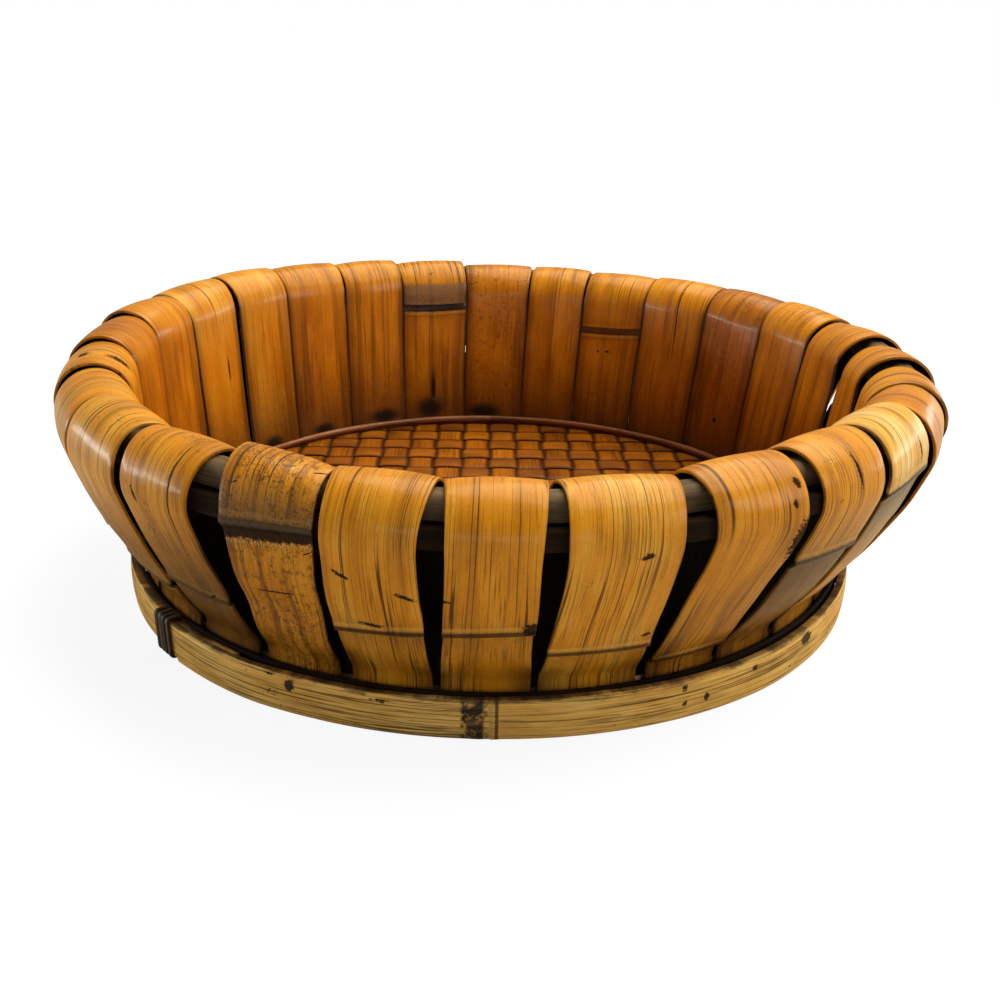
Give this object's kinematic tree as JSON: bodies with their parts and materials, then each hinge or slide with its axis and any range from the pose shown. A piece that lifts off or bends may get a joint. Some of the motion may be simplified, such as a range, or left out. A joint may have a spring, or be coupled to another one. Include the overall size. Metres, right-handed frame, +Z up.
{
  "type": "bamboo fruit tray",
  "caption": "Round open tray of bent bamboo slats that roll over a hooped rim, with a woven strip floor and a lashed foot ring, for holding fruit.",
  "frame": {"origin": "centre of the foot ring on the table plane", "axes": "+Z up along the tray's round axis; the side seen in the picture faces -Y, +X is to its right"},
  "size_m": [0.3402, 0.34, 0.0904],
  "materials": {
    "bamboo_slat": "lacquered bamboo skin, glossy",
    "bamboo_foot": "lacquered bamboo strip, satin",
    "stained_bamboo": "dark stained bamboo, matt",
    "rim_core": "stained bamboo, matt",
    "cane_lashing": "dark split cane, satin",
    "woven_bamboo": "lacquered woven bamboo strips, glossy",
    "floor_cane": "red-brown lacquered cane, glossy",
    "raw_bamboo": "plain split bamboo, matt"
  },
  "bodies": {
    "root": {"slat_01": "bamboo_slat", "slat_02": "bamboo_slat", "slat_03": "bamboo_slat", "slat_04": "bamboo_slat", "slat_05": "bamboo_slat", "slat_06": "bamboo_slat", "slat_07": "bamboo_slat", "slat_08": "bamboo_slat", "slat_09": "bamboo_slat", "slat_10": "bamboo_slat", "slat_11": "bamboo_slat", "slat_12": "bamboo_slat", "slat_13": "bamboo_slat", "slat_14": "bamboo_slat", "slat_15": "bamboo_slat", "slat_16": "bamboo_slat", "slat_17": "bamboo_slat", "slat_18": "bamboo_slat", "slat_19": "bamboo_slat", "slat_20": "bamboo_slat", "slat_21": "bamboo_slat", "slat_22": "bamboo_slat", "slat_23": "bamboo_slat", "slat_24": "bamboo_slat", "slat_25": "bamboo_slat", "slat_26": "bamboo_slat", "slat_27": "bamboo_slat", "slat_28": "bamboo_slat", "foot_ring": "bamboo_foot", "foot_binding_hoop": "stained_bamboo", "rim_outer_band": "stained_bamboo", "rim_inner_band": "stained_bamboo", "rim_top_hoop": "rim_core", "foot_lashing": "cane_lashing", "woven_floor": "woven_bamboo", "floor_cane_ring": "floor_cane", "foot_core_hoop": "raw_bamboo", "floor_support_hoop": "raw_bamboo", "floor_batten_left": "raw_bamboo", "floor_batten_right": "raw_bamboo"}
  },
  "joints": []
}
